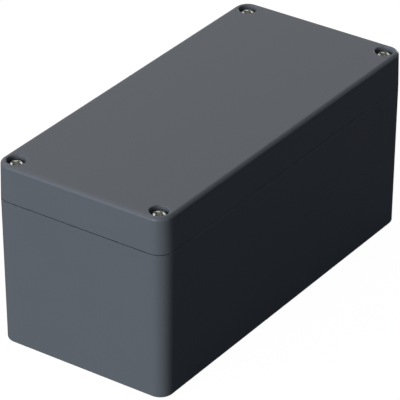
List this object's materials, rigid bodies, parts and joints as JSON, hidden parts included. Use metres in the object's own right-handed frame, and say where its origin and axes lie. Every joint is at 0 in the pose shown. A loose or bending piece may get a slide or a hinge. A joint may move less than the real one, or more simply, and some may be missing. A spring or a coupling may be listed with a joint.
{
  "type": "polyester terminal enclosure",
  "caption": "Long rectangular wall-mounting junction box in moulded glass-fibre polyester: a deep base and a shallow sealed lid, held by captive screws in corner pockets.",
  "frame": {"origin": "middle of the base's flat back face", "axes": "+X along the length, +Y across the width, +Z out of the back face and through the lid"},
  "size_m": [0.16, 0.075, 0.075],
  "materials": {
    "moulding": "dark grey moulded glass-fibre polyester, satin",
    "gasket": "black cellular rubber, matt",
    "screw": "plain stainless steel, turned",
    "o_ring": "black rubber, smooth",
    "retainer": "natural nylon",
    "insert": "turned brass"
  },
  "bodies": {
    "base": {"base": "moulding", "lid_screw_insert_front_left": "insert", "lid_screw_insert_front_right": "insert", "lid_screw_insert_rear_left": "insert", "lid_screw_insert_rear_right": "insert", "floor_insert_front_left": "insert", "floor_insert_front_right": "insert", "floor_insert_rear_left": "insert", "floor_insert_rear_right": "insert"},
    "lid": {"lid": "moulding", "gasket": "gasket", "screw_retainer_front_left": "retainer", "screw_retainer_front_right": "retainer", "screw_retainer_rear_left": "retainer", "screw_retainer_rear_right": "retainer"},
    "o_ring_front_left": {"screw_o_ring_front_left": "o_ring"},
    "screw_front_left": {"lid_screw_front_left": "screw"},
    "o_ring_front_right": {"screw_o_ring_front_right": "o_ring"},
    "screw_front_right": {"lid_screw_front_right": "screw"},
    "o_ring_rear_left": {"screw_o_ring_rear_left": "o_ring"},
    "screw_rear_left": {"lid_screw_rear_left": "screw"},
    "o_ring_rear_right": {"screw_o_ring_rear_right": "o_ring"},
    "screw_rear_right": {"lid_screw_rear_right": "screw"}
  },
  "joints": [
    {"name": "lid_lift", "type": "slide", "parent": "base", "child": "lid", "axis": [0, 0, 1], "range_m": [0, 0.08]},
    {"name": "screw_rise_front_left", "type": "slide", "parent": "lid", "child": "o_ring_front_left", "axis": [0, 0, 1], "range_m": [0, 0.0084]},
    {"name": "screw_turn_front_left", "type": "hinge", "parent": "o_ring_front_left", "child": "screw_front_left", "pos_m": [-0.074, -0.0315, 0.0736], "axis": [0, 0, 1], "range_deg": [0, 4320]},
    {"name": "screw_rise_front_right", "type": "slide", "parent": "lid", "child": "o_ring_front_right", "axis": [0, 0, 1], "range_m": [0, 0.0084]},
    {"name": "screw_turn_front_right", "type": "hinge", "parent": "o_ring_front_right", "child": "screw_front_right", "pos_m": [0.074, -0.0315, 0.0736], "axis": [0, 0, 1], "range_deg": [0, 4320]},
    {"name": "screw_rise_rear_left", "type": "slide", "parent": "lid", "child": "o_ring_rear_left", "axis": [0, 0, 1], "range_m": [0, 0.0084]},
    {"name": "screw_turn_rear_left", "type": "hinge", "parent": "o_ring_rear_left", "child": "screw_rear_left", "pos_m": [-0.074, 0.0315, 0.0736], "axis": [0, 0, 1], "range_deg": [0, 4320]},
    {"name": "screw_rise_rear_right", "type": "slide", "parent": "lid", "child": "o_ring_rear_right", "axis": [0, 0, 1], "range_m": [0, 0.0084]},
    {"name": "screw_turn_rear_right", "type": "hinge", "parent": "o_ring_rear_right", "child": "screw_rear_right", "pos_m": [0.074, 0.0315, 0.0736], "axis": [0, 0, 1], "range_deg": [0, 4320]}
  ],
  "couplings": [
    {"joint": "screw_turn_front_left", "follows": "screw_rise_front_left", "rad_per_m": 8976},
    {"joint": "screw_turn_front_right", "follows": "screw_rise_front_right", "rad_per_m": 8976},
    {"joint": "screw_turn_rear_left", "follows": "screw_rise_rear_left", "rad_per_m": 8976},
    {"joint": "screw_turn_rear_right", "follows": "screw_rise_rear_right", "rad_per_m": 8976}
  ]
}
